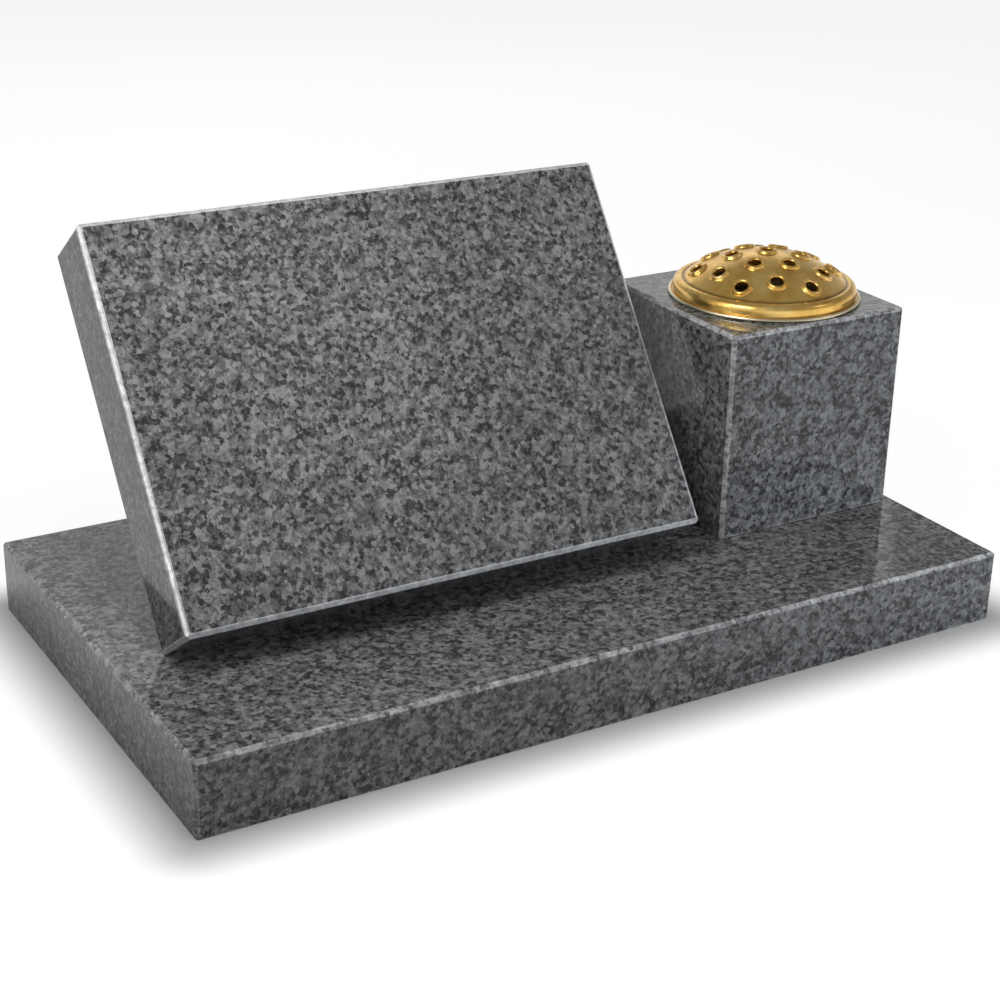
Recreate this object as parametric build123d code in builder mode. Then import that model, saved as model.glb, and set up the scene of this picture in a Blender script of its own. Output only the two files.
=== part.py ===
"""Desk memorial in polished grey granite, with a flower vase.

A base slab carries a leaning tablet on a wedge and, beside it, a square vase block.
A spun metal pot drops into the bore of the block, and a domed gold lid with raised
holes for the stems caps the pot.

Millimetres. X runs to the right, Y to the back and Z up.
The origin is the middle of the base's underside.
"""
import math
import os

from build123d import *

# Base slab
base_depth = 344.0
base_thickness = 52.0
base_arris = 2.0
left_margin = 34.0
right_margin = 10.0

# Tablet, leaning back on the wedge
tablet_width = 380.0
tablet_length = 269.0
tablet_thickness = 54.0
tablet_slope = 54.5  # degrees up from level
tablet_setback = 130.0  # from the base's front edge to the tablet's foot
tablet_arris = 2.5
foot_bed = 3.0  # width of the flat that the tablet stands on

# Wedge behind the tablet
wedge_inset = 60.0
wedge_toe_gap = 15.0
wedge_depth = 95.0
wedge_crown = 12.0
wedge_arris = 1.5

# Vase block
block_width = 152.0
block_height = 152.0
block_setback = 109.0
block_gap = 34.0  # from the tablet to the block
block_arris = 2.0
block_foot_arris = 1.0
bore_right = 4.0  # the bore stands a little right of the block's middle
bore_forward = 4.0
bore_clearance = 1.5
bore_floor_gap = 5.0

# Flower pot
pot_radius = 50.0
pot_depth = 110.0
pot_wall = 1.5
pot_floor_round = 9.0
pot_neck_round = 3.5
bead_rise = 1.3  # of the rolled edge above the pot's flange
bead_clearance = 0.6  # round the lid, which drops inside the bead

# Domed lid
band_radius = 66.5
band_height = 10.0
band_round = 5.0
band_lap = 25.0  # degrees that the band's round runs on past its top, down to the crease
dome_rise = 20.5  # above the band
lid_wall = 1.4

# Raised holes in the lid
hole_radius = 5.6
collar_height = 2.3
collar_spread = 2.2
hole_rings = 2
hole_edge_margin = 0.4
hole_turn = 33.0  # degrees

# Rounds of the turned metal are made of a few flats each
band_steps = 4
bead_steps = 3
hidden_steps = 2
hole_sides = 14

# Places that follow from the sizes
base_width = left_margin + tablet_width + block_gap + block_width + right_margin
base_left = -base_width / 2
base_right = base_width / 2
base_front = -base_depth / 2

tablet_left = base_left + left_margin
tablet_middle = tablet_left + tablet_width / 2
foot_front = base_front + tablet_setback
slope = math.radians(tablet_slope)
foot_back = foot_front + foot_bed
foot_sink = foot_bed * math.sin(slope) * math.cos(slope)
foot_corner = foot_back - foot_sink / math.tan(slope)

block_middle = base_right - right_margin - block_width / 2
block_centre_y = base_front + block_setback + block_width / 2
block_top = base_thickness + block_height

vase_x = block_middle + bore_right
vase_y = block_centre_y - bore_forward
lid_seat = block_top + pot_wall
vase_axis = Axis((vase_x, vase_y, 0), (0, 0, 1))


def vase_section(height):
    """Upright plane through the vase's axis: its x is the radius and its y the height."""
    return Plane(origin=(vase_x, vase_y, height), x_dir=(1, 0, 0), z_dir=(0, -1, 0))


def side_section(x):
    """Upright plane across the base: its x runs to the back and its y up."""
    return Plane(origin=(x, 0, 0), x_dir=(0, 1, 0), z_dir=(1, 0, 0))


# Base slab: sawn underside, polished arrises on every other edge
with BuildPart() as base_slab:
    with BuildSketch():
        Rectangle(base_width, base_depth)
    extrude(amount=base_thickness)
    underside = base_slab.edges().group_by(Axis.Z)[0]
    chamfer([edge for edge in base_slab.edges() if edge not in underside], base_arris)

# Tablet: its lower back edge is cut level, as the bed it stands on
tablet_face = Plane(
    origin=(tablet_middle, foot_corner, base_thickness - foot_sink),
    x_dir=(1, 0, 0),
    z_dir=(0, -math.sin(slope), math.cos(slope)),
)
with BuildPart() as tablet:
    with BuildSketch(tablet_face):
        Rectangle(tablet_width, tablet_length, align=(Align.CENTER, Align.MIN))
    extrude(amount=tablet_thickness)
    lowest = tablet.edges().sort_by(Axis.Z)[0]
    chamfer([edge for edge in tablet.edges() if edge != lowest], tablet_arris)
    split(bisect_by=Plane.XY.offset(base_thickness), keep=Keep.TOP)

# Wedge: its sloping face lies on the tablet's back
wedge_width = tablet_width - 2 * wedge_inset
wedge_front = foot_back + wedge_toe_gap
wedge_back = wedge_front + wedge_depth
wedge_crown_front = wedge_back - wedge_crown


def back_height(y):
    """Height of the tablet's back face at a place along Y."""
    return base_thickness + (y - foot_back) * math.tan(slope)


with BuildPart() as wedge_rest:
    with BuildSketch(side_section(tablet_left + wedge_inset)):
        with BuildLine():
            Polyline(
                (wedge_front, base_thickness),
                (wedge_back, base_thickness),
                (wedge_back, back_height(wedge_crown_front)),
                (wedge_crown_front, back_height(wedge_crown_front)),
                (wedge_front, back_height(wedge_front)),
                close=True,
            )
        make_face()
    extrude(amount=wedge_width)
    crown_edges = wedge_rest.faces().sort_by(Axis.Z)[-1].edges()
    chamfer(crown_edges.sort_by(Axis.Y)[-1], wedge_arris)

# Vase block: a cube with a blind bore for the pot
bore_radius = pot_radius + bore_clearance
bore_depth = pot_depth + bore_floor_gap
with BuildPart() as vase_block:
    with BuildSketch(Plane((block_middle, block_centre_y, base_thickness))):
        Rectangle(block_width, block_width)
    extrude(amount=block_height)
    underside = vase_block.edges().group_by(Axis.Z)[0]
    chamfer([edge for edge in vase_block.edges() if edge not in underside], block_arris)
    chamfer(vase_block.faces().sort_by(Axis.Z)[0].edges(), block_foot_arris)
    with BuildSketch(Plane((vase_x, vase_y, block_top))):
        Circle(bore_radius)
    extrude(amount=-bore_depth, mode=Mode.SUBTRACT)
    mouth = vase_block.edges().filter_by(GeomType.CIRCLE).sort_by(Axis.Z)[-1]
    chamfer(mouth, pot_neck_round)


def rounded(centre, radius, start, end, steps=hidden_steps):
    """Points of a round from one angle to another, in a few flats."""
    points = []
    for step in range(steps + 1):
        angle = math.radians(start + (end - start) * step / steps)
        points.append((centre[0] + radius * math.cos(angle), centre[1] + radius * math.sin(angle)))
    return points


# Flower pot: spun sheet, with a flange that rests on the block and a rolled bead round the lid
bead_round = (pot_wall + bead_rise) / 2
bead_centre = (band_radius + bead_clearance + bead_round, bead_round)
bead_outside = 45  # degrees
bead_inside = 180 - math.degrees(math.asin((pot_wall - bead_round) / bead_round))
neck_centre = (pot_radius + pot_neck_round, -pot_neck_round)
floor_centre = (pot_radius - pot_floor_round, pot_floor_round - pot_depth)

with BuildPart() as flower_pot:
    with BuildSketch(vase_section(block_top)):
        with BuildLine():
            Polyline(
                (0, -pot_depth),
                *rounded(floor_centre, pot_floor_round, -90, 0),
                *rounded(neck_centre, pot_neck_round, 180, 90),
                *rounded(bead_centre, bead_round, -90, bead_outside, bead_steps),
                *rounded(bead_centre, bead_round, bead_outside, bead_inside)[1:],
                *rounded(neck_centre, pot_neck_round + pot_wall, 90, 180),
                *rounded(floor_centre, pot_floor_round - pot_wall, 0, -90),
                (0, pot_wall - pot_depth),
                close=True,
            )
        make_face()
    revolve(axis=vase_axis)

# Lid: a shallow dome that meets a rolled band in a crease
band_centre = (band_radius - band_round, band_height - band_round)
crease_angle = 90 + band_lap
outer_band = rounded(band_centre, band_round, crease_angle, 0, band_steps)
inner_band = rounded(band_centre, band_round - lid_wall, 0, crease_angle)
dome_radius, crease_height = outer_band[0]
dome_apex = band_height + dome_rise
dome_camber = dome_apex - crease_height
dome_sphere = (dome_radius**2 + dome_camber**2) / (2 * dome_camber)
dome_centre = dome_apex - dome_sphere
inner_sphere = dome_sphere - lid_wall
shoulder = inner_band[-1][1]
inner_foot = math.sqrt(inner_sphere**2 - (shoulder - dome_centre) ** 2)


def dome_point(sphere, radius):
    """Point of a dome arc at a distance from the axis."""
    return (radius, dome_centre + math.sqrt(sphere**2 - radius**2))


# One raised hole: the sheet is turned up round it into a collar
lip_radius = hole_radius + lid_wall
collar_radius = lip_radius + collar_spread
collar_waist = lip_radius + collar_spread / 4
collar_sink = dome_sphere - math.sqrt(dome_sphere**2 - collar_radius**2)
hole_pitch = (dome_radius - hole_edge_margin - collar_radius) / hole_rings
hole_flare = hole_radius + lid_wall / 2

with BuildPart() as collar:
    for height, radius in (
        (-lid_wall / 2, collar_radius),
        (0, collar_radius),
        (collar_height / 2, collar_waist),
        (collar_height, lip_radius),
    ):
        with BuildSketch(Plane.XY.offset(height)):
            RegularPolygon(radius, hole_sides)
    loft(ruled=True)

with BuildPart() as stem_hole:
    for height, radius in (
        (-collar_height, hole_flare),
        (collar_height + lid_wall, hole_radius),
    ):
        with BuildSketch(Plane.XY.offset(height)):
            RegularPolygon(radius, hole_sides)
    loft(ruled=True)

# The holes stand on a grid of triangles, square to the dome
hole_places = []
for column in range(-hole_rings, hole_rings + 1):
    for row in range(-hole_rings, hole_rings + 1):
        if abs(column + row) > hole_rings:
            continue
        grid_x = hole_pitch * (column + row / 2)
        grid_y = hole_pitch * row * math.sqrt(3) / 2
        tilt = math.degrees(math.asin(math.hypot(grid_x, grid_y) / dome_sphere))
        turn = math.degrees(math.atan2(grid_y, grid_x)) + hole_turn
        to_centre = Pos(vase_x, vase_y, lid_seat + dome_centre)
        to_surface = Pos(0, 0, dome_sphere - collar_sink)
        hole_places.append(to_centre * Rot(0, 0, turn) * Rot(0, tilt, 0) * to_surface)

with BuildPart() as flower_lid:
    with BuildSketch(vase_section(lid_seat)):
        with BuildLine():
            dome = ThreePointArc(
                (0, dome_apex),
                dome_point(dome_sphere, dome_radius / 2),
                (dome_radius, crease_height),
            )
            under_dome = ThreePointArc(
                (inner_foot, shoulder),
                dome_point(inner_sphere, inner_foot / 2),
                (0, dome_apex - lid_wall),
            )
            Polyline(
                *outer_band,
                (band_radius, 0),
                (band_radius - lid_wall, 0),
                *inner_band,
                under_dome @ 0,
            )
            Line(under_dome @ 1, dome @ 0)
        make_face()
    revolve(axis=vase_axis)
    with Locations(*hole_places):
        add(collar.part)
    with Locations(*hole_places):
        add(stem_hole.part, mode=Mode.SUBTRACT)

pieces = {
    "base_slab": base_slab,
    "tablet": tablet,
    "wedge_rest": wedge_rest,
    "vase_block": vase_block,
    "flower_pot": flower_pot,
    "flower_lid": flower_lid,
}
os.makedirs("parts", exist_ok=True)
for name, piece in pieces.items():
    piece.part.label = name
    export_step(piece.part, f"parts/{name}.step")
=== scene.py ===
"""Looks of a desk memorial in polished grey granite, with a flower vase.

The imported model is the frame. The stones are copies of its nodes with eased arrises.
The pot and the lid are turned from outlines, and a node tree raises the holes in the lid.
Metres. X runs to the right, Y to the back and Z up.
"""
import math

import bmesh
import bpy
from mathutils import Matrix, Vector


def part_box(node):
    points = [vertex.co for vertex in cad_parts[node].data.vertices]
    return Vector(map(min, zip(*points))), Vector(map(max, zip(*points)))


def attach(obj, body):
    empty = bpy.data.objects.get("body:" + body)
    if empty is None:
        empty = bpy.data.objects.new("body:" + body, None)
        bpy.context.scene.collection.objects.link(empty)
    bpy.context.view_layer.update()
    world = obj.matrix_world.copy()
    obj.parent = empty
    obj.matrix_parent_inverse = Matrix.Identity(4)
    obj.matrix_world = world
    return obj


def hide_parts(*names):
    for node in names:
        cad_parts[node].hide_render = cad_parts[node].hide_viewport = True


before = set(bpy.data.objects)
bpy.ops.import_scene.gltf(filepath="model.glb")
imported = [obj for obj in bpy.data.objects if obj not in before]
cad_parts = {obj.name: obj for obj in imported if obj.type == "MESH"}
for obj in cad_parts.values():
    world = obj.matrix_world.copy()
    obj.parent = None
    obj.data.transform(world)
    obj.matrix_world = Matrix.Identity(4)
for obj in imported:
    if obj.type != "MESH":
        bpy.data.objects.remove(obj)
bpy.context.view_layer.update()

# Camera, fitted to the straight edges of the stones
lens_mm = 72.6
sensor_mm = 36.0
camera_azimuth = math.radians(31.055)
camera_elevation = math.radians(23.072)
camera_roll = math.radians(-1.307)
camera_distance = 1.40303
camera_target = Vector((-0.00303, 0.0, 0.08849))

# Stones
ease_width = 0.0007
ease_segments = 3
ease_angle = math.radians(20)
shortest_arris = 0.02
weld_gap = 0.00001
flat_angle = math.radians(1)
widest_arris = 0.005

# Turned metal, with the same sizes as the solids
pot_radius = 0.050
pot_wall = 0.0015
pot_floor_round = 0.009
pot_neck_round = 0.0035
bead_rise = 0.0013
bead_clearance = 0.0006
band_height = 0.010
band_round = 0.005
band_lap = 25  # degrees
dome_rise = 0.0205
lid_wall = 0.0014
hole_radius = 0.0056
collar_height = 0.0023
collar_spread = 0.0022
hole_rings = 2
hole_edge_margin = 0.0004
hole_turn = math.radians(33)
lip_roll = 0.0013
lip_swell = 0.0003
crease_width = 0.0022
crease_shade = 0.35
sharp_angle = math.radians(32)
turned_sides = 144
collar_sides = 40

# Places taken from the frame
lid_low, lid_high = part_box("flower_lid")
pot_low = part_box("flower_pot")[0]
block_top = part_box("vase_block")[1].z
vase_x = (lid_low.x + lid_high.x) / 2
vase_y = (lid_low.y + lid_high.y) / 2
band_radius = (lid_high.x - lid_low.x) / 2
lid_seat = lid_low.z
pot_depth = block_top - pot_low.z


def arc(centre, radius, start, end, steps=10):
    """Points of a round from one angle to another, in degrees."""
    points = []
    for step in range(steps + 1):
        angle = math.radians(start + (end - start) * step / steps)
        points.append((centre[0] + radius * math.cos(angle), centre[1] + radius * math.sin(angle)))
    return points


# Lid: the band's round, the dome's two spheres and the places of the holes
crease_angle = 90 + band_lap
band_centre = (band_radius - band_round, band_height - band_round)
outer_band = arc(band_centre, band_round, crease_angle, 0, 14)
inner_band = arc(band_centre, band_round - lid_wall, 0, crease_angle)
dome_radius, crease_height = outer_band[0]
dome_apex = band_height + dome_rise
dome_camber = dome_apex - crease_height
dome_sphere = (dome_radius**2 + dome_camber**2) / (2 * dome_camber)
dome_centre = dome_apex - dome_sphere
inner_sphere = dome_sphere - lid_wall
lip_radius = hole_radius + lid_wall
collar_radius = lip_radius + collar_spread
collar_sink = dome_sphere - math.sqrt(dome_sphere**2 - collar_radius**2)
hole_pitch = (dome_radius - hole_edge_margin - collar_radius) / hole_rings


def fill(tree, socket, value):
    """Links an output to a socket, or sets the socket's value."""
    if isinstance(value, bpy.types.NodeSocket):
        tree.links.new(value, socket)
    else:
        socket.default_value = value


def add_node(tree, kind, inputs=None, **settings):
    """Adds a node, sets its properties and fills its inputs."""
    node = tree.nodes.new(kind)
    for name, value in settings.items():
        setattr(node, name, value)
    for name, value in (inputs or {}).items():
        fill(tree, node.inputs[name], value)
    return node


def number(tree, operation, *values):
    """Output of a math node."""
    node = add_node(tree, "ShaderNodeMath", operation=operation)
    for socket, value in zip(node.inputs, values):
        fill(tree, socket, value)
    return node.outputs[0]


def vector(tree, operation, *values):
    """Output of a vector math node."""
    node = add_node(tree, "ShaderNodeVectorMath", operation=operation)
    for socket, value in zip(node.inputs, values):
        fill(tree, socket, value)
    return node.outputs[0]


def ramp(tree, factor, stops):
    """Colour ramp from a list of places and greys or colours."""
    node = add_node(tree, "ShaderNodeValToRGB", {"Fac": factor})
    elements = node.color_ramp.elements
    while len(elements) < len(stops):
        elements.new(1.0)
    for element, (place, colour) in zip(elements, stops):
        element.position = place
        tone = colour if isinstance(colour, tuple) else (colour, colour, colour)
        element.color = (*tone, 1.0)
    return node.outputs["Color"]


def noise(tree, place, scale, detail):
    """Outputs of a noise texture."""
    node = add_node(tree, "ShaderNodeTexNoise", {"Vector": place, "Scale": scale, "Detail": detail})
    return node.outputs


def cells(tree, place, scale, channel):
    """Distances of a cell pattern, and one channel of its cells' colours."""
    pattern = add_node(tree, "ShaderNodeTexVoronoi", {"Vector": place, "Scale": scale}).outputs
    colours = add_node(tree, "ShaderNodeSeparateColor", {"Color": pattern["Color"]}).outputs
    return pattern["Distance"], colours[channel]


def mapped(tree, value, low, high):
    """Value from 0 to 1, mapped to a range."""
    node = add_node(tree, "ShaderNodeMapRange", {"Value": value, "To Min": low, "To Max": high})
    return node.outputs["Result"]


def bump(tree, height, strength, depth):
    """Normal of a surface with a relief."""
    node = add_node(tree, "ShaderNodeBump", {"Height": height, "Strength": strength, "Distance": depth})
    return node.outputs["Normal"]


def new_material(name):
    """Material with an empty tree, its shader and its object coordinates."""
    material = bpy.data.materials.new(name)
    material.use_nodes = True
    tree = material.node_tree
    tree.nodes.clear()
    shader = add_node(tree, "ShaderNodeBsdfPrincipled")
    output = add_node(tree, "ShaderNodeOutputMaterial")
    tree.links.new(shader.outputs["BSDF"], output.inputs["Surface"])
    place = add_node(tree, "ShaderNodeTexCoord").outputs["Object"]
    return material, tree, shader, place


# Granite: dark, mid and pale crystals a few millimetres across, in loose clusters
grain_scale = 320.0
grain_warp_scale = 520.0
grain_warp = 0.0030
cluster_scale = 120.0
cluster_share = 0.40
fleck_scale = 520.0
fleck_share = 0.36
cloud_scale = 9.0
stone_specular = 0.22
stone_bump = 0.3
middle_tone = 0.5

# Arrises: more even than the faces, and painted paler, a painted highlight along the edges
arris_highlight_gain = 4.0
arris_evenness = 0.7


def granite(name, lightness, roughness_low, roughness_high, relief):
    """Speckled granite. Lightness scales its tones, and relief is the depth of its bump."""
    material, tree, shader, place = new_material(name)
    shader.inputs["Specular IOR Level"].default_value = stone_specular
    warp = vector(tree, "SUBTRACT", noise(tree, place, grain_warp_scale, 2.0)["Color"], (0.5, 0.5, 0.5))
    warp = vector(tree, "MULTIPLY", warp, (grain_warp, grain_warp, grain_warp))
    bent = vector(tree, "ADD", place, warp)

    crystal_distance, crystal_tone = cells(tree, bent, grain_scale, "Red")
    _, fleck_tone = cells(tree, bent, fleck_scale, "Green")
    cluster = number(tree, "SUBTRACT", noise(tree, place, cluster_scale, 3.0)["Fac"], 0.5)
    cluster = number(tree, "MULTIPLY", cluster, 2.0 * cluster_share)
    mixed = number(tree, "MULTIPLY", crystal_tone, 1.0 - fleck_share)
    mixed = number(tree, "ADD", mixed, number(tree, "MULTIPLY", fleck_tone, fleck_share))
    mixed = number(tree, "ADD", mixed, cluster)
    # The arrises are painted paler than the faces, a painted highlight along the edges, and their grain
    # is evened out
    arris_highlight = add_node(tree, "ShaderNodeAttribute", attribute_name="arris_highlight").outputs["Fac"]
    to_middle = number(tree, "MULTIPLY", number(tree, "SUBTRACT", middle_tone, mixed), arris_evenness)
    mixed = number(tree, "ADD", mixed, number(tree, "MULTIPLY", to_middle, arris_highlight))
    tones = ramp(
        tree,
        mixed,
        [
            (0.14, (0.029, 0.029, 0.030)),
            (0.30, (0.058, 0.058, 0.059)),
            (0.44, (0.097, 0.097, 0.098)),
            (0.57, (0.129, 0.129, 0.129)),
            (0.72, (0.170, 0.170, 0.168)),
            (0.90, (0.232, 0.232, 0.229)),
        ],
    )

    cloud_gain = ramp(tree, noise(tree, place, cloud_scale, 2.0)["Fac"], [(0.30, 0.90), (0.70, 1.10)])
    # The gain on the arrises paints their highlight into the colour
    gain = vector(tree, "MULTIPLY", cloud_gain, mapped(tree, arris_highlight, lightness, lightness * arris_highlight_gain))
    fill(tree, shader.inputs["Base Color"], vector(tree, "MULTIPLY", tones, gain))
    fill(tree, shader.inputs["Roughness"], mapped(tree, crystal_tone, roughness_high, roughness_low))
    height = number(tree, "ADD", crystal_distance, fleck_tone)
    fill(tree, shader.inputs["Normal"], bump(tree, height, stone_bump, relief))
    return material


# Metals: the scale of their marks, and the depth of dents and turning lines
lid_stain_scale = 48.0
lid_haze_scale = 210.0
dent_scale = 140.0
dent_depth = 0.0006
dent_bump = 0.25
pot_stain_scale = 40.0
turning_scale = 2600.0
turning_share = 0.5
turning_depth = 0.0002
turning_bump = 0.4


def axis_distance(tree, place):
    """Distance of a place from the vase's axis, and its height."""
    centred = vector(tree, "SUBTRACT", place, (vase_x, vase_y, 0.0))
    parts = add_node(tree, "ShaderNodeSeparateXYZ", {"Vector": centred}).outputs
    across = number(tree, "POWER", parts["X"], 2.0)
    along = number(tree, "POWER", parts["Y"], 2.0)
    return number(tree, "SQRT", number(tree, "ADD", across, along)), parts["Z"]


def lid_gold():
    """Polished gold anodised sheet, a little uneven from pressing, with painted shade along the crease.
    """
    material, tree, shader, place = new_material("lid_gold")
    shader.inputs["Metallic"].default_value = 1.0
    colour = ramp(
        tree,
        noise(tree, place, lid_stain_scale, 4.0)["Fac"],
        [(0.30, (0.62, 0.355, 0.080)), (0.52, (0.86, 0.545, 0.150)), (0.72, (0.95, 0.680, 0.250))],
    )
    radius, _ = axis_distance(tree, place)
    # Painted shade: the gold is darkened in a narrow band along the crease between dome and band
    from_crease = number(tree, "ABSOLUTE", number(tree, "SUBTRACT", radius, dome_radius))
    crease_painted_shade = add_node(
        tree,
        "ShaderNodeMapRange",
        {"Value": from_crease, "From Max": crease_width, "To Min": crease_shade, "To Max": 1.0},
        interpolation_type="SMOOTHSTEP",
    )
    fill(tree, shader.inputs["Base Color"], vector(tree, "MULTIPLY", colour, crease_painted_shade.outputs["Result"]))
    haze = noise(tree, place, lid_haze_scale, 3.0)["Fac"]
    fill(tree, shader.inputs["Roughness"], mapped(tree, haze, 0.20, 0.40))
    dents = noise(tree, place, dent_scale, 2.0)["Fac"]
    fill(tree, shader.inputs["Normal"], bump(tree, dents, dent_bump, dent_depth))
    return material


def pot_metal():
    """Spun sheet, anodised in a pale gold, with fine turning lines."""
    material, tree, shader, place = new_material("pot_metal")
    shader.inputs["Metallic"].default_value = 1.0
    radius, height = axis_distance(tree, place)
    track = number(tree, "ADD", radius, height)
    turning = add_node(
        tree,
        "ShaderNodeTexNoise",
        {"W": track, "Scale": turning_scale, "Detail": 3.0},
        noise_dimensions="1D",
    )
    lines = turning.outputs["Fac"]
    worn = number(tree, "MULTIPLY", lines, turning_share)
    worn = number(tree, "ADD", worn, noise(tree, place, pot_stain_scale, 4.0)["Fac"])
    colour = ramp(tree, worn, [(0.45, (0.56, 0.48, 0.31)), (1.0, (0.84, 0.75, 0.54))])
    fill(tree, shader.inputs["Base Color"], colour)
    fill(tree, shader.inputs["Roughness"], mapped(tree, lines, 0.22, 0.42))
    fill(tree, shader.inputs["Normal"], bump(tree, lines, turning_bump, turning_depth))
    return material


polished = granite("granite", lightness=1.0, roughness_low=0.05, roughness_high=0.11, relief=0.00004)
honed = granite("granite_honed", lightness=1.5, roughness_low=0.45, roughness_high=0.60, relief=0.0003)
gold = lid_gold()
pale_gold = pot_metal()


def new_object(name, mesh):
    """Object for a finished mesh, in the scene."""
    piece = bpy.data.objects.new(name, mesh)
    bpy.context.scene.collection.objects.link(piece)
    return piece


def baked(piece, name):
    """Plain mesh of a piece with its modifiers applied."""
    depsgraph = bpy.context.evaluated_depsgraph_get()
    mesh = bpy.data.meshes.new_from_object(piece.evaluated_get(depsgraph), depsgraph=depsgraph)
    mesh.name = name
    return mesh


def near_any(normal, others):
    """Whether a normal points the same way as one of the others."""
    return any(normal.angle(other) < flat_angle for other in others)


def keep_flats(mesh, flats, curves):
    """Corner normals that leave the flat faces flat, so that only eased arrises and bores turn."""
    flat = [near_any(polygon.normal, flats) for polygon in mesh.polygons]
    eased = [not near_any(polygon.normal, flats + curves) for polygon in mesh.polygons]
    beside, around = {}, {}
    for polygon in mesh.polygons:
        for key in polygon.edge_keys:
            beside.setdefault(key, []).append(polygon)
        for vertex in polygon.vertices:
            around.setdefault(vertex, []).append(polygon)
    normals = []
    for polygon in mesh.polygons:
        for vertex in polygon.vertices:
            near = [polygon] if flat[polygon.index] else []
            if eased[polygon.index]:
                edges = [beside[key] for key in polygon.edge_keys if vertex in key]
                near = [other for pair in edges for other in pair if flat[other.index]]
            if not near:
                turns = [(other, other.normal.angle(polygon.normal)) for other in around[vertex]]
                near = [other for other, turn in turns if turn < ease_angle]
            total = sum((other.area * other.normal for other in near), Vector())
            normals.append(total.normalized())
    mesh.normals_split_custom_set(normals)


def mark_arris_highlights(mesh, highlight_share):
    """Face attribute that gives the narrow faces along the edges their share of painted highlight, from 0
    to 1.
    """
    arris_highlight = mesh.attributes.new("arris_highlight", "FLOAT", "FACE")
    for polygon in mesh.polygons:
        points = [mesh.vertices[vertex].co for vertex in polygon.vertices]
        longest = max((one - other).length for one in points for other in points)
        arris_highlight.data[polygon.index].value = highlight_share if polygon.area < widest_arris * longest else 0.0


def eased_stone(node, name, material, highlight_share):
    """Copy of a stone with its arrises eased, which stands for its node."""
    shape = bmesh.new()
    shape.from_mesh(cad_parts[node].data)
    bmesh.ops.remove_doubles(shape, verts=shape.verts, dist=weld_gap)
    bmesh.ops.dissolve_limit(shape, angle_limit=flat_angle, verts=shape.verts, edges=shape.edges)
    weights = shape.edges.layers.float.new("bevel_weight_edge")
    for edge in shape.edges:
        turns = edge.is_manifold and edge.calc_face_angle() > ease_angle
        edge[weights] = 1.0 if turns and edge.calc_length() > shortest_arris else 0.0
    flats, curves = [], []
    for face in shape.faces:
        face.smooth = True
        face.material_index = 0
        bends = any(edge.is_manifold and edge.calc_face_angle() < ease_angle for edge in face.edges)
        (curves if bends else flats).append(face.normal.copy())
    rough = bpy.data.meshes.new(name)
    shape.to_mesh(rough)
    shape.free()
    if "custom_normal" in rough.attributes:
        rough.attributes.remove(rough.attributes["custom_normal"])
    rough.materials.clear()
    rough.materials.append(material)
    piece = new_object(name, rough)
    easing = piece.modifiers.new("easing", "BEVEL")
    easing.limit_method = "WEIGHT"
    easing.width = ease_width
    easing.segments = ease_segments
    easing.use_clamp_overlap = False
    piece.data = baked(piece, name)
    piece.modifiers.clear()
    keep_flats(piece.data, flats, curves)
    mark_arris_highlights(piece.data, highlight_share)
    return piece


def turned(name, outline, sides, looped=False):
    """Solid turned about Z from an outline of radius and height."""
    shape = bmesh.new()
    rings = []
    for radius, height in outline:
        count = sides if radius > weld_gap else 1
        angles = [math.tau * side / sides for side in range(count)]
        points = [(radius * math.cos(angle), radius * math.sin(angle), height) for angle in angles]
        rings.append([shape.verts.new(point) for point in points])
    pairs = list(zip(rings, rings[1:]))
    if looped:
        pairs.append((rings[-1], rings[0]))
    for one, other in pairs:
        for side in range(sides):
            after = (side + 1) % sides
            corners = [one[side % len(one)], one[after % len(one)]]
            corners += [other[after % len(other)], other[side % len(other)]]
            shape.faces.new(list(dict.fromkeys(corners)))
    bmesh.ops.recalc_face_normals(shape, faces=shape.faces)
    mesh = bpy.data.meshes.new(name)
    shape.to_mesh(mesh)
    shape.free()
    return mesh


def shade(mesh):
    """Smooth shading that keeps the creases."""
    mesh.shade_smooth()
    mesh.set_sharp_from_angle(angle=sharp_angle)


def flower_pot():
    """Spun pot with a flange and a rolled bead."""
    bead_round = (pot_wall + bead_rise) / 2
    bead_centre = (band_radius + bead_clearance + bead_round, bead_round)
    bead_inside = 180 - math.degrees(math.asin((pot_wall - bead_round) / bead_round))
    neck_centre = (pot_radius + pot_neck_round, -pot_neck_round)
    floor_centre = (pot_radius - pot_floor_round, pot_floor_round - pot_depth)
    outline = [
        (0.0, -pot_depth),
        *arc(floor_centre, pot_floor_round, -90, 0),
        *arc(neck_centre, pot_neck_round, 180, 90),
        *arc(bead_centre, bead_round, -90, bead_inside, 16),
        *arc(neck_centre, pot_neck_round + pot_wall, 90, 180),
        *arc(floor_centre, pot_floor_round - pot_wall, 0, -90),
        (0.0, pot_wall - pot_depth),
    ]
    mesh = turned("spun_pot", outline, turned_sides)
    mesh.transform(Matrix.Translation((vase_x, vase_y, block_top)))
    mesh.materials.append(pale_gold)
    shade(mesh)
    return new_object("spun_pot", mesh)


def dome_arc(sphere, top_angle, foot_angle, steps=30):
    """Points of a dome from one angle to another above the level, in degrees."""
    return arc((0.0, dome_centre), sphere, top_angle, foot_angle, steps)


def lid_shell():
    """Turned sheet of the lid, before its holes."""
    dome_foot = math.degrees(math.acos(dome_radius / dome_sphere))
    shoulder = inner_band[-1][1]
    inner_foot = math.degrees(math.asin((shoulder - dome_centre) / inner_sphere))
    outline = [
        *dome_arc(dome_sphere, 90, dome_foot),
        *outer_band[1:],
        (band_radius, 0.0),
        (band_radius - lid_wall, 0.0),
        *inner_band,
        *dome_arc(inner_sphere, inner_foot, 90),
    ]
    return turned("lid_shell", outline, turned_sides)


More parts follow.
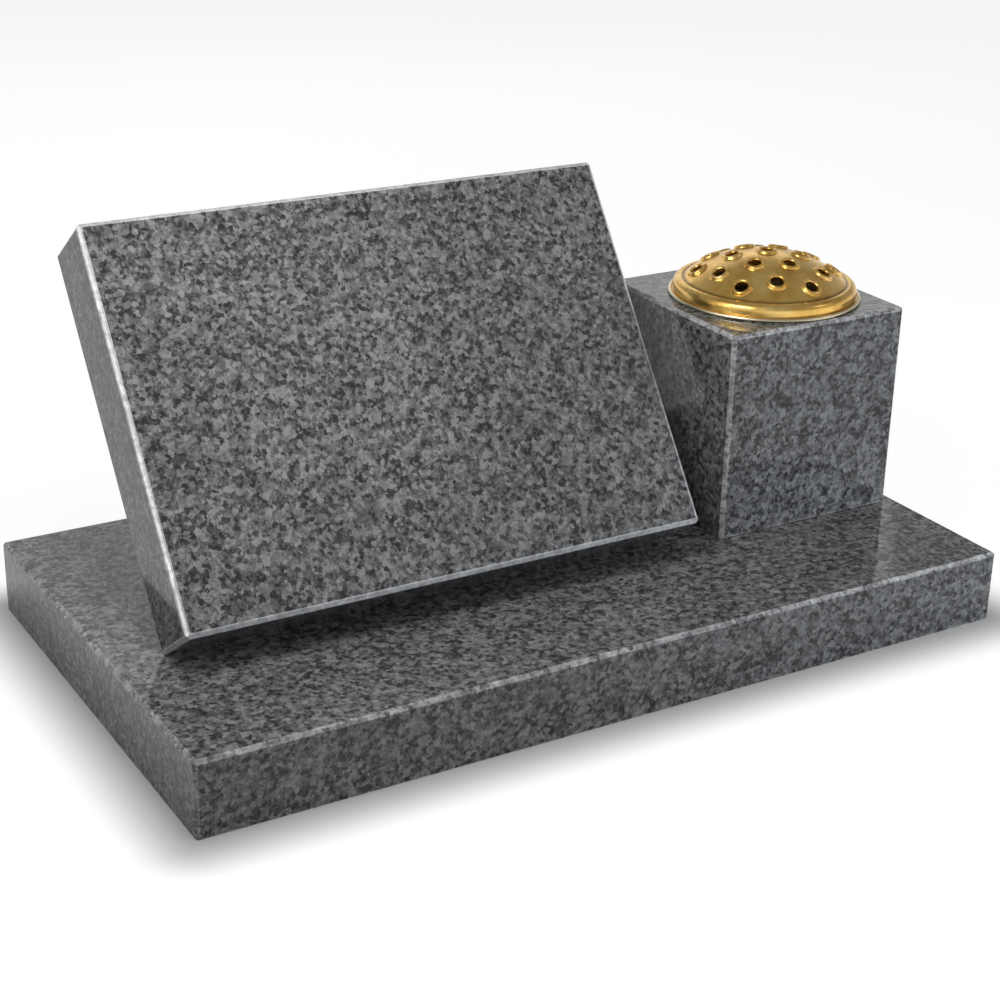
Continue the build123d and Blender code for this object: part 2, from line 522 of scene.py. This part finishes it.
def collar():
    """One collar round a hole: it flares up out of the dome and rolls over in a broad lip."""
    sink = lid_wall / 2
    lip_edge = lip_radius + lip_swell
    foot_radius = collar_radius + sink
    flare = foot_radius - lip_edge
    outline = [
        (foot_radius, -lid_wall),
        (foot_radius, -sink),
        *arc((foot_radius, flare - sink), flare, -90, -170, 8),
        *arc((lip_edge - lip_roll, collar_height - lip_roll), lip_roll, 15, 180, 12),
        (lip_edge - 2 * lip_roll, -lid_wall),
    ]
    return turned("collar", outline, collar_sides, looped=True)


def raised_holes_tree():
    """Node tree that cuts a grid of holes in a dome and sets a collar in each."""
    tree = bpy.data.node_groups.new("raised_holes", "GeometryNodeTree")
    kinds = {
        "Lid": "NodeSocketGeometry",
        "Collar": "NodeSocketObject",
        "Pitch": "NodeSocketFloat",
        "Rings": "NodeSocketInt",
        "Turn": "NodeSocketFloat",
        "Sphere": "NodeSocketFloat",
        "Sink": "NodeSocketFloat",
        "Centre": "NodeSocketVector",
        "Cut Radius": "NodeSocketFloat",
        "Cut Depth": "NodeSocketFloat",
        "Cut Sides": "NodeSocketInt",
        "Material": "NodeSocketMaterial",
    }
    for name, kind in kinds.items():
        tree.interface.new_socket(name, in_out="INPUT", socket_type=kind)
    tree.interface.new_socket("Lid", in_out="OUTPUT", socket_type="NodeSocketGeometry")
    given = add_node(tree, "NodeGroupInput").outputs

    span = number(tree, "MULTIPLY", given["Pitch"], number(tree, "MULTIPLY", given["Rings"], 2.0))
    count = number(tree, "ADD", number(tree, "MULTIPLY", given["Rings"], 2.0), 1.0)
    grid = add_node(
        tree,
        "GeometryNodeMeshGrid",
        {"Size X": span, "Size Y": span, "Vertices X": count, "Vertices Y": count},
    )
    here = add_node(tree, "GeometryNodeInputPosition").outputs["Position"]
    flat = add_node(tree, "ShaderNodeSeparateXYZ", {"Vector": here})
    sheared = add_node(
        tree,
        "ShaderNodeCombineXYZ",
        {
            "X": number(tree, "ADD", flat.outputs["X"], number(tree, "MULTIPLY", flat.outputs["Y"], 0.5)),
            "Y": number(tree, "MULTIPLY", flat.outputs["Y"], math.sqrt(3) / 2),
        },
    )
    spun = add_node(
        tree,
        "ShaderNodeVectorRotate",
        {"Vector": sheared.outputs["Vector"], "Angle": given["Turn"]},
        rotation_type="Z_AXIS",
    )
    triangles = add_node(
        tree,
        "GeometryNodeSetPosition",
        {"Geometry": grid.outputs["Mesh"], "Position": spun.outputs["Vector"]},
    )
    reach = add_node(tree, "ShaderNodeVectorMath", {0: here}, operation="LENGTH").outputs["Value"]
    limit = number(tree, "MULTIPLY", given["Pitch"], number(tree, "ADD", given["Rings"], 0.1))
    outside = number(tree, "GREATER_THAN", reach, limit)
    places = add_node(
        tree,
        "GeometryNodeDeleteGeometry",
        {"Geometry": triangles.outputs["Geometry"], "Selection": outside},
    )
    rise = number(tree, "POWER", given["Sphere"], 2.0)
    rise = number(tree, "SUBTRACT", rise, number(tree, "POWER", reach, 2.0))
    lifted = add_node(tree, "ShaderNodeCombineXYZ", {"Z": number(tree, "SQRT", rise)})
    outward = vector(tree, "NORMALIZE", vector(tree, "ADD", here, lifted.outputs["Vector"]))
    seat = add_node(tree, "ShaderNodeVectorMath", {0: outward}, operation="SCALE")
    fill(tree, seat.inputs["Scale"], number(tree, "SUBTRACT", given["Sphere"], given["Sink"]))
    on_dome = add_node(
        tree,
        "GeometryNodeSetPosition",
        {
            "Geometry": places.outputs["Geometry"],
            "Position": vector(tree, "ADD", seat.outputs["Vector"], given["Centre"]),
        },
    )
    from_centre = vector(tree, "SUBTRACT", here, given["Centre"])
    upright = add_node(tree, "FunctionNodeAlignRotationToVector", {"Vector": from_centre}, axis="Z")

    def set_in_place(geometry):
        """One copy of a geometry at each hole, realized."""
        copies = add_node(
            tree,
            "GeometryNodeInstanceOnPoints",
            {
                "Points": on_dome.outputs["Geometry"],
                "Instance": geometry,
                "Rotation": upright.outputs["Rotation"],
            },
        )
        real = add_node(tree, "GeometryNodeRealizeInstances", {"Geometry": copies.outputs["Instances"]})
        return real.outputs["Geometry"]

    cutter = add_node(
        tree,
        "GeometryNodeMeshCylinder",
        {"Vertices": given["Cut Sides"], "Radius": given["Cut Radius"], "Depth": given["Cut Depth"]},
    )
    ring = add_node(tree, "GeometryNodeObjectInfo", {"Object": given["Collar"]})
    pierced = add_node(
        tree,
        "GeometryNodeMeshBoolean",
        {"Mesh 1": given["Lid"], "Mesh 2": set_in_place(cutter.outputs["Mesh"])},
        operation="DIFFERENCE",
        solver="EXACT",
    )
    joined = add_node(tree, "GeometryNodeMeshBoolean", operation="UNION", solver="EXACT")
    tree.links.new(pierced.outputs["Mesh"], joined.inputs["Mesh 2"])
    tree.links.new(set_in_place(ring.outputs["Geometry"]), joined.inputs["Mesh 2"])
    real = add_node(tree, "GeometryNodeRealizeInstances", {"Geometry": joined.outputs["Mesh"]})
    painted = add_node(
        tree,
        "GeometryNodeSetMaterial",
        {"Geometry": real.outputs["Geometry"], "Material": given["Material"]},
    )
    result = add_node(tree, "NodeGroupOutput")
    tree.links.new(painted.outputs["Geometry"], result.inputs["Lid"])
    return tree


def flower_lid():
    """Domed lid with a rolled band and raised holes."""
    tree = raised_holes_tree()
    ring = new_object("collar", collar())
    piece = new_object("domed_lid", lid_shell())
    holes = piece.modifiers.new("raised_holes", "NODES")
    holes.node_group = tree
    sizes = {
        "Collar": ring,
        "Pitch": hole_pitch,
        "Rings": hole_rings,
        "Turn": hole_turn,
        "Sphere": dome_sphere,
        "Sink": collar_sink,
        "Centre": (0.0, 0.0, dome_centre),
        "Cut Radius": (hole_radius + lip_radius) / 2,
        "Cut Depth": 4 * collar_height,
        "Cut Sides": collar_sides,
        "Material": gold,
    }
    for socket in tree.interface.items_tree:
        if socket.in_out == "INPUT" and socket.name in sizes:
            holes[socket.identifier] = sizes[socket.name]
    mesh = baked(piece, "domed_lid")
    piece.modifiers.clear()
    bpy.data.objects.remove(ring)
    mesh.transform(Matrix.Translation((vase_x, vase_y, lid_seat)))
    shade(mesh)
    piece.data = mesh
    return piece


# Pieces, each on its body, and the share of painted highlight on each stone's arrises
stones = {
    "base_slab": ("base_stone", polished, "granite", 0.4),
    "tablet": ("tablet_stone", polished, "granite", 1.0),
    "wedge_rest": ("wedge_stone", honed, "granite_honed", 0.1),
    "vase_block": ("vase_stone", polished, "granite", 0.55),
}
for node, (name, material, slot, highlight_share) in stones.items():
    stone = eased_stone(node, name, material, highlight_share)
    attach(stone, "stones")
    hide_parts(node)

pot = flower_pot()
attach(pot, "pot")
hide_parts("flower_pot")

lid = flower_lid()
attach(lid, "lid")
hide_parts("flower_lid")

# Floor: pale, and white to the camera without more light on the stones, with a painted shadow round the
# base that the polished sides also mirror
floor_half = 12.0
floor_tone = (0.28, 0.28, 0.28)
floor_glow = 0.82
painted_shadow_reach = 0.05
painted_shadow_tone = 0.18
base_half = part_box("base_slab")[1]


def pale_floor():
    """Wide level floor that keeps the shadow, and whose glow is darkened near the base as a painted
    shadow.
    """
    mesh = bpy.data.meshes.new("floor")
    corners = [(-floor_half, -floor_half, 0), (floor_half, -floor_half, 0)]
    corners += [(floor_half, floor_half, 0), (-floor_half, floor_half, 0)]
    mesh.from_pydata(corners, [], [(0, 1, 2, 3)])
    material = bpy.data.materials.new("floor")
    material.use_nodes = True
    tree = material.node_tree
    tree.nodes.clear()
    path = add_node(tree, "ShaderNodeLightPath").outputs
    seen = number(tree, "MAXIMUM", path["Is Camera Ray"], path["Is Glossy Ray"])
    seen = number(tree, "MAXIMUM", seen, path["Is Transmission Ray"])
    here = add_node(tree, "ShaderNodeTexCoord").outputs["Object"]
    # Painted shadow: the glow fades towards the base's foot, for the camera and for reflections alike
    past = vector(tree, "SUBTRACT", vector(tree, "ABSOLUTE", here), (base_half.x, base_half.y, 0.0))
    past = vector(tree, "MAXIMUM", past, (0.0, 0.0, 0.0))
    away = add_node(tree, "ShaderNodeVectorMath", {0: past}, operation="LENGTH").outputs["Value"]
    painted_shadow = add_node(
        tree,
        "ShaderNodeMapRange",
        {"Value": away, "From Max": painted_shadow_reach, "To Min": painted_shadow_tone, "To Max": 1.0},
        interpolation_type="SMOOTHSTEP",
    )
    seen = number(tree, "MULTIPLY", seen, painted_shadow.outputs["Result"])
    glow = add_node(tree, "ShaderNodeEmission", {"Strength": number(tree, "MULTIPLY", seen, floor_glow)})
    matt = add_node(tree, "ShaderNodeBsdfDiffuse", {"Color": (*floor_tone, 1.0)})
    both = add_node(tree, "ShaderNodeAddShader")
    tree.links.new(matt.outputs["BSDF"], both.inputs[0])
    tree.links.new(glow.outputs["Emission"], both.inputs[1])
    add_node(tree, "ShaderNodeOutputMaterial", {"Surface": both.outputs["Shader"]})
    mesh.materials.append(material)
    return new_object("floor", mesh)


pale_floor()


def area_lamp(name, turn, place, width, height, radiance):
    """Area lamp at a place that the camera doesn't see. Radiance is its brightness, where 1 is white."""
    lamp = bpy.data.lights.new(name, "AREA")
    lamp.shape = "RECTANGLE"
    lamp.size = width
    lamp.size_y = height
    lamp.energy = radiance * math.pi * width * height
    holder = bpy.data.objects.new(name, lamp)
    holder.matrix_world = Matrix.Translation(place) @ turn.to_4x4()
    holder.visible_camera = False
    bpy.context.scene.collection.objects.link(holder)
    return holder


def softbox(name, place, width, height, radiance, tint=(1.0, 1.0, 1.0), mirrored=True):
    """Area lamp that faces the stones, and that polished faces mirror or not."""
    turn = (place - camera_target).to_track_quat("Z", "Y").to_matrix()
    holder = area_lamp(name, turn, place, width, height, radiance)
    holder.data.color = tint
    holder.visible_glossy = mirrored


def strip(name, start, end, width, radiance):
    """Long lamp from one place to another that faces the stones."""
    along = (end - start).normalized()
    middle = (start + end) / 2
    back = (middle - camera_target).normalized()
    across = along.cross(back).normalized()
    turn = Matrix((across, along, across.cross(along))).transposed()
    area_lamp(name, turn, middle, width, (end - start).length, radiance)


# Lamps: boxes for the faces, and two strips that the arrises mirror as white lines
cool_white = (0.86, 0.92, 1.0)
softbox("key_box", Vector((-0.26, -0.18, 0.56)), 0.18, 0.18, 15.0)
softbox("left_box", Vector((-0.95, -0.10, 0.95)), 0.60, 0.50, 1.0)
softbox("right_box", Vector((1.05, -0.85, 0.26)), 1.10, 0.45, 7.8, cool_white, mirrored=False)
softbox("back_box", Vector((-0.30, 1.50, 1.60)), 1.60, 1.00, 1.8, mirrored=False)
softbox("back_card", Vector((0.95, 1.75, 1.00)), 1.60, 0.60, 0.9)
strip("tablet_strip", Vector((-1.80, -0.45, 0.49)), Vector((-1.69, -0.01, 1.03)), 0.05, 30.0)
strip("base_strip", Vector((1.00, -0.87, 1.17)), Vector((1.36, -0.81, 1.07)), 0.07, 12.0)

# Room: a white horizon that meets the floor, under dim walls and ceiling
horizon_tone = 0.95
wall_tone = 0.33
ceiling_tone = 0.30
fill_tone = 0.28
world = bpy.data.worlds.new("studio")
bpy.context.scene.world = world
world.use_nodes = True
tree = world.node_tree
tree.nodes.clear()
look = add_node(tree, "ShaderNodeTexCoord").outputs["Generated"]
lift = add_node(tree, "ShaderNodeSeparateXYZ", {"Vector": look}).outputs["Z"]
tone = ramp(tree, lift, [(0.08, horizon_tone), (0.30, wall_tone), (0.75, ceiling_tone)])
path = add_node(tree, "ShaderNodeLightPath").outputs
seen = number(tree, "MAXIMUM", path["Is Camera Ray"], path["Is Glossy Ray"])
seen = number(tree, "MAXIMUM", seen, path["Is Transmission Ray"])
fill_light = add_node(tree, "ShaderNodeBackground", {"Color": (fill_tone, fill_tone, fill_tone, 1.0)})
backdrop = add_node(tree, "ShaderNodeBackground", {"Color": tone})
room = add_node(tree, "ShaderNodeMixShader", {"Fac": seen})
tree.links.new(fill_light.outputs["Background"], room.inputs[1])
tree.links.new(backdrop.outputs["Background"], room.inputs[2])
add_node(tree, "ShaderNodeOutputWorld", {"Surface": room.outputs["Shader"]})


def place_camera():
    """Camera at the photograph's place, with its small roll."""
    sight = Vector(
        (
            math.sin(camera_azimuth) * math.cos(camera_elevation),
            math.cos(camera_azimuth) * math.cos(camera_elevation),
            -math.sin(camera_elevation),
        )
    )
    right = sight.cross(Vector((0, 0, 1))).normalized()
    down = sight.cross(right)
    across = math.cos(camera_roll) * right + math.sin(camera_roll) * down
    below = math.cos(camera_roll) * down - math.sin(camera_roll) * right
    camera = bpy.data.cameras.new("camera")
    camera.lens = lens_mm
    camera.sensor_width = sensor_mm
    holder = bpy.data.objects.new("camera", camera)
    turn = Matrix((across, -below, -sight)).transposed().to_4x4()
    holder.matrix_world = Matrix.Translation(camera_target - sight * camera_distance) @ turn
    bpy.context.scene.collection.objects.link(holder)
    bpy.context.scene.camera = holder


place_camera()
bpy.context.scene.view_settings.view_transform = "Standard"
